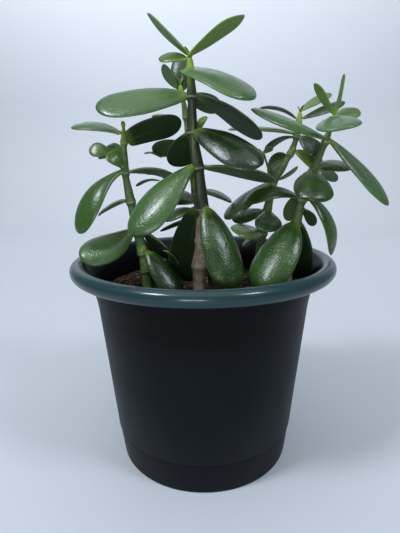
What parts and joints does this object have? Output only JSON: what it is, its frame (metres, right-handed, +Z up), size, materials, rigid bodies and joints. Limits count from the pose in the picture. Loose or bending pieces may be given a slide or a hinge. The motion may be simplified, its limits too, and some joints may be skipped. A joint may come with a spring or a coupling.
{
  "type": "potted jade plant",
  "caption": "Jade plant with thick oval leaves on several upright stems, in a round tapered plastic pot with a rolled rim.",
  "frame": {"origin": "middle of the underside of the pot, on the surface that it stands on", "axes": "+Z up, -Y towards the front of the plant, +X to the right seen from the front"},
  "size_m": [0.2345, 0.1998, 0.3298],
  "materials": {
    "pot_plastic": "satin near-black blue-green moulded plastic",
    "potting_soil": "dark crumbly potting soil with bark and fibre",
    "bark": "smooth tan-grey bark, greener towards the top",
    "green_stem": "fleshy green-brown stem with pale leaf scars",
    "leaf": "glossy waxy green leaf"
  },
  "bodies": {
    "root": {"pot": "pot_plastic", "soil": "potting_soil", "main_stem": "bark", "main_crown_left_leaf": "leaf", "main_crown_right_leaf": "leaf", "main_second_back_leaf": "leaf", "main_second_front_leaf": "leaf", "main_third_left_leaf": "leaf", "main_third_right_leaf": "leaf", "main_fourth_front_leaf": "leaf", "main_fourth_back_leaf": "leaf", "main_fifth_front_leaf": "leaf", "main_fifth_right_leaf": "leaf", "main_sixth_back_leaf": "leaf", "main_sixth_front_leaf": "leaf", "left_stem": "green_stem", "left_crown_left_leaf": "leaf", "left_crown_right_leaf": "leaf", "left_third_front_leaf": "leaf", "left_third_right_leaf": "leaf", "left_fourth_left_leaf": "leaf", "left_fifth_front_leaf": "leaf", "left_fifth_back_leaf": "leaf", "left_low_right_leaf": "leaf", "right_stem": "green_stem", "right_crown_left_leaf": "leaf", "right_crown_back_leaf": "leaf", "right_second_right_leaf": "leaf", "right_second_front_leaf": "leaf", "right_third_left_leaf": "leaf", "right_third_right_leaf": "leaf", "right_fourth_back_leaf": "leaf", "right_fourth_front_leaf": "leaf", "right_fifth_left_leaf": "leaf", "right_fifth_right_leaf": "leaf", "right_sixth_front_leaf": "leaf", "right_sixth_back_leaf": "leaf", "middle_stem": "green_stem", "middle_crown_left_leaf": "leaf", "middle_crown_right_leaf": "leaf", "middle_second_right_leaf": "leaf", "middle_second_left_leaf": "leaf", "middle_third_left_leaf": "leaf", "middle_third_right_leaf": "leaf", "middle_fourth_right_leaf": "leaf", "middle_fifth_back_leaf": "leaf", "middle_fifth_front_leaf": "leaf", "middle_fifth_left_leaf": "leaf", "middle_sixth_left_leaf": "leaf", "middle_sixth_front_leaf": "leaf", "middle_low_left_leaf": "leaf", "back_stem": "green_stem", "back_crown_right_leaf": "leaf", "back_crown_left_leaf": "leaf", "back_second_right_leaf": "leaf", "back_third_left_leaf": "leaf", "back_fourth_left_leaf": "leaf", "back_fourth_right_leaf": "leaf", "back_fifth_left_leaf": "leaf", "back_fifth_low_leaf": "leaf"}
  },
  "joints": []
}
